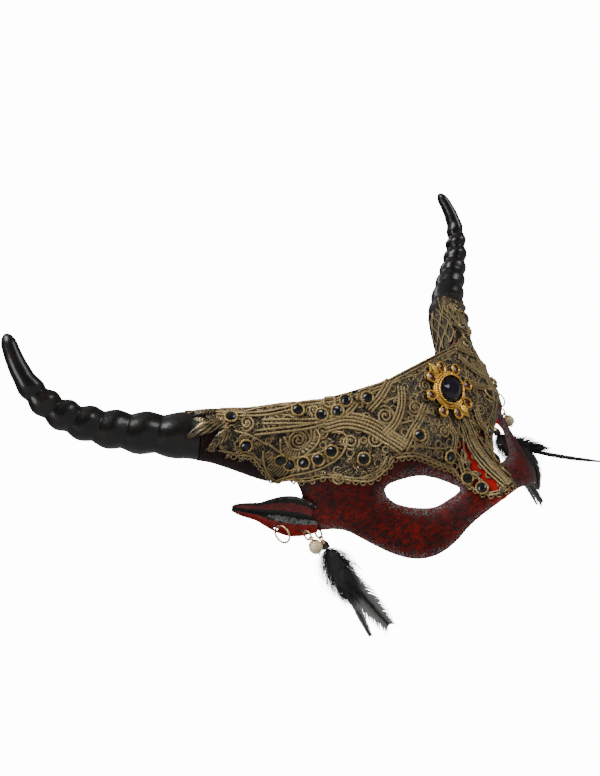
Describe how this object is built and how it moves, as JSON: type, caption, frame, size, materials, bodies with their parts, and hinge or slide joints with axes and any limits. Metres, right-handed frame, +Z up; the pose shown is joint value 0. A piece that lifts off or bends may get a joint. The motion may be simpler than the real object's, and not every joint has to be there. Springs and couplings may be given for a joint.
{
  "type": "horned half-mask",
  "caption": "Half-mask for the eyes with two ridged curved horns, leaf-shaped ears, gold cord lace set with black stones, ear hoops, pearl drops and feather tassels.",
  "frame": {"origin": "on the wearer's face at the bridge of the nose, half-way between the eyes", "axes": "+X to the wearer's left, -Y forward out of the face, +Z up"},
  "size_m": [0.3404, 0.0876, 0.2017],
  "materials": {
    "mask_paint": "papier-mache, red lacquer dry-brushed with black",
    "horn_lacquer": "papier-mache, glossy brown-black lacquer",
    "gold_lace": "cord lace stiffened and painted antique gold over black",
    "gold_cord": "cord ring painted gold",
    "black_stone": "faceted black resin",
    "gold_metal": "bright gilt wire and casting",
    "pearl": "cream pearl lustre",
    "feather_down": "black down",
    "feather_quill": "black and grey quill feathers"
  },
  "bodies": {
    "mask": {"mask_shell": "mask_paint", "lace_forehead": "gold_lace", "stones_forehead": "black_stone", "stone_rings_forehead": "gold_cord", "medallion_frame": "gold_metal", "medallion_gem": "black_stone", "horn_left": "horn_lacquer", "ear_left": "mask_paint", "lace_left": "gold_lace", "stones_left": "black_stone", "stone_rings_left": "gold_cord", "horn_right": "horn_lacquer", "ear_right": "mask_paint", "lace_right": "gold_lace", "stones_right": "black_stone", "stone_rings_right": "gold_cord"},
    "hoop_left": {"ear_hoop_left": "gold_metal"},
    "pearl_drop_left": {"pearl_ring_left": "gold_metal", "pearl_pin_left": "gold_metal", "pearl_left": "pearl"},
    "tassel_left": {"tassel_ring_left": "gold_metal", "tassel_crimp_left": "gold_metal", "tassel_fluff_left": "feather_down", "tassel_quills_left": "feather_quill", "tassel_long_quill_left": "feather_quill"},
    "hoop_right": {"ear_hoop_right": "gold_metal"},
    "pearl_drop_right": {"pearl_ring_right": "gold_metal", "pearl_pin_right": "gold_metal", "pearl_right": "pearl"},
    "tassel_right": {"tassel_ring_right": "gold_metal", "tassel_crimp_right": "gold_metal", "tassel_fluff_right": "feather_down", "tassel_quills_right": "feather_quill"}
  },
  "joints": [
    {"name": "ear_hoop_swing_left", "type": "hinge", "parent": "mask", "child": "hoop_left", "pos_m": [0.09452, 0.04097, 0.01571], "axis": [0.1087, 0.8509, -0.514], "range_deg": [-35, 5]},
    {"name": "pearl_swing_left", "type": "hinge", "parent": "mask", "child": "pearl_drop_left", "pos_m": [0.08501, 0.03566, 0.00765], "axis": [-0.0265, 0.7608, -0.6485], "range_deg": [-30, 20]},
    {"name": "tassel_swing_left", "type": "hinge", "parent": "mask", "child": "tassel_left", "pos_m": [0.07632, 0.03718, 0.0069], "axis": [0.9172, -0.3984, 0], "range_deg": [-25, 30]},
    {"name": "ear_hoop_swing_right", "type": "hinge", "parent": "mask", "child": "hoop_right", "pos_m": [-0.09452, 0.04097, 0.01571], "axis": [0.1087, -0.8509, 0.514], "range_deg": [-35, 5]},
    {"name": "pearl_swing_right", "type": "hinge", "parent": "mask", "child": "pearl_drop_right", "pos_m": [-0.08501, 0.03566, 0.00765], "axis": [-0.0265, -0.7608, 0.6485], "range_deg": [-30, 20]},
    {"name": "tassel_swing_right", "type": "hinge", "parent": "mask", "child": "tassel_right", "pos_m": [-0.07632, 0.03718, 0.0069], "axis": [0.9172, 0.3984, 0], "range_deg": [-25, 30]}
  ]
}
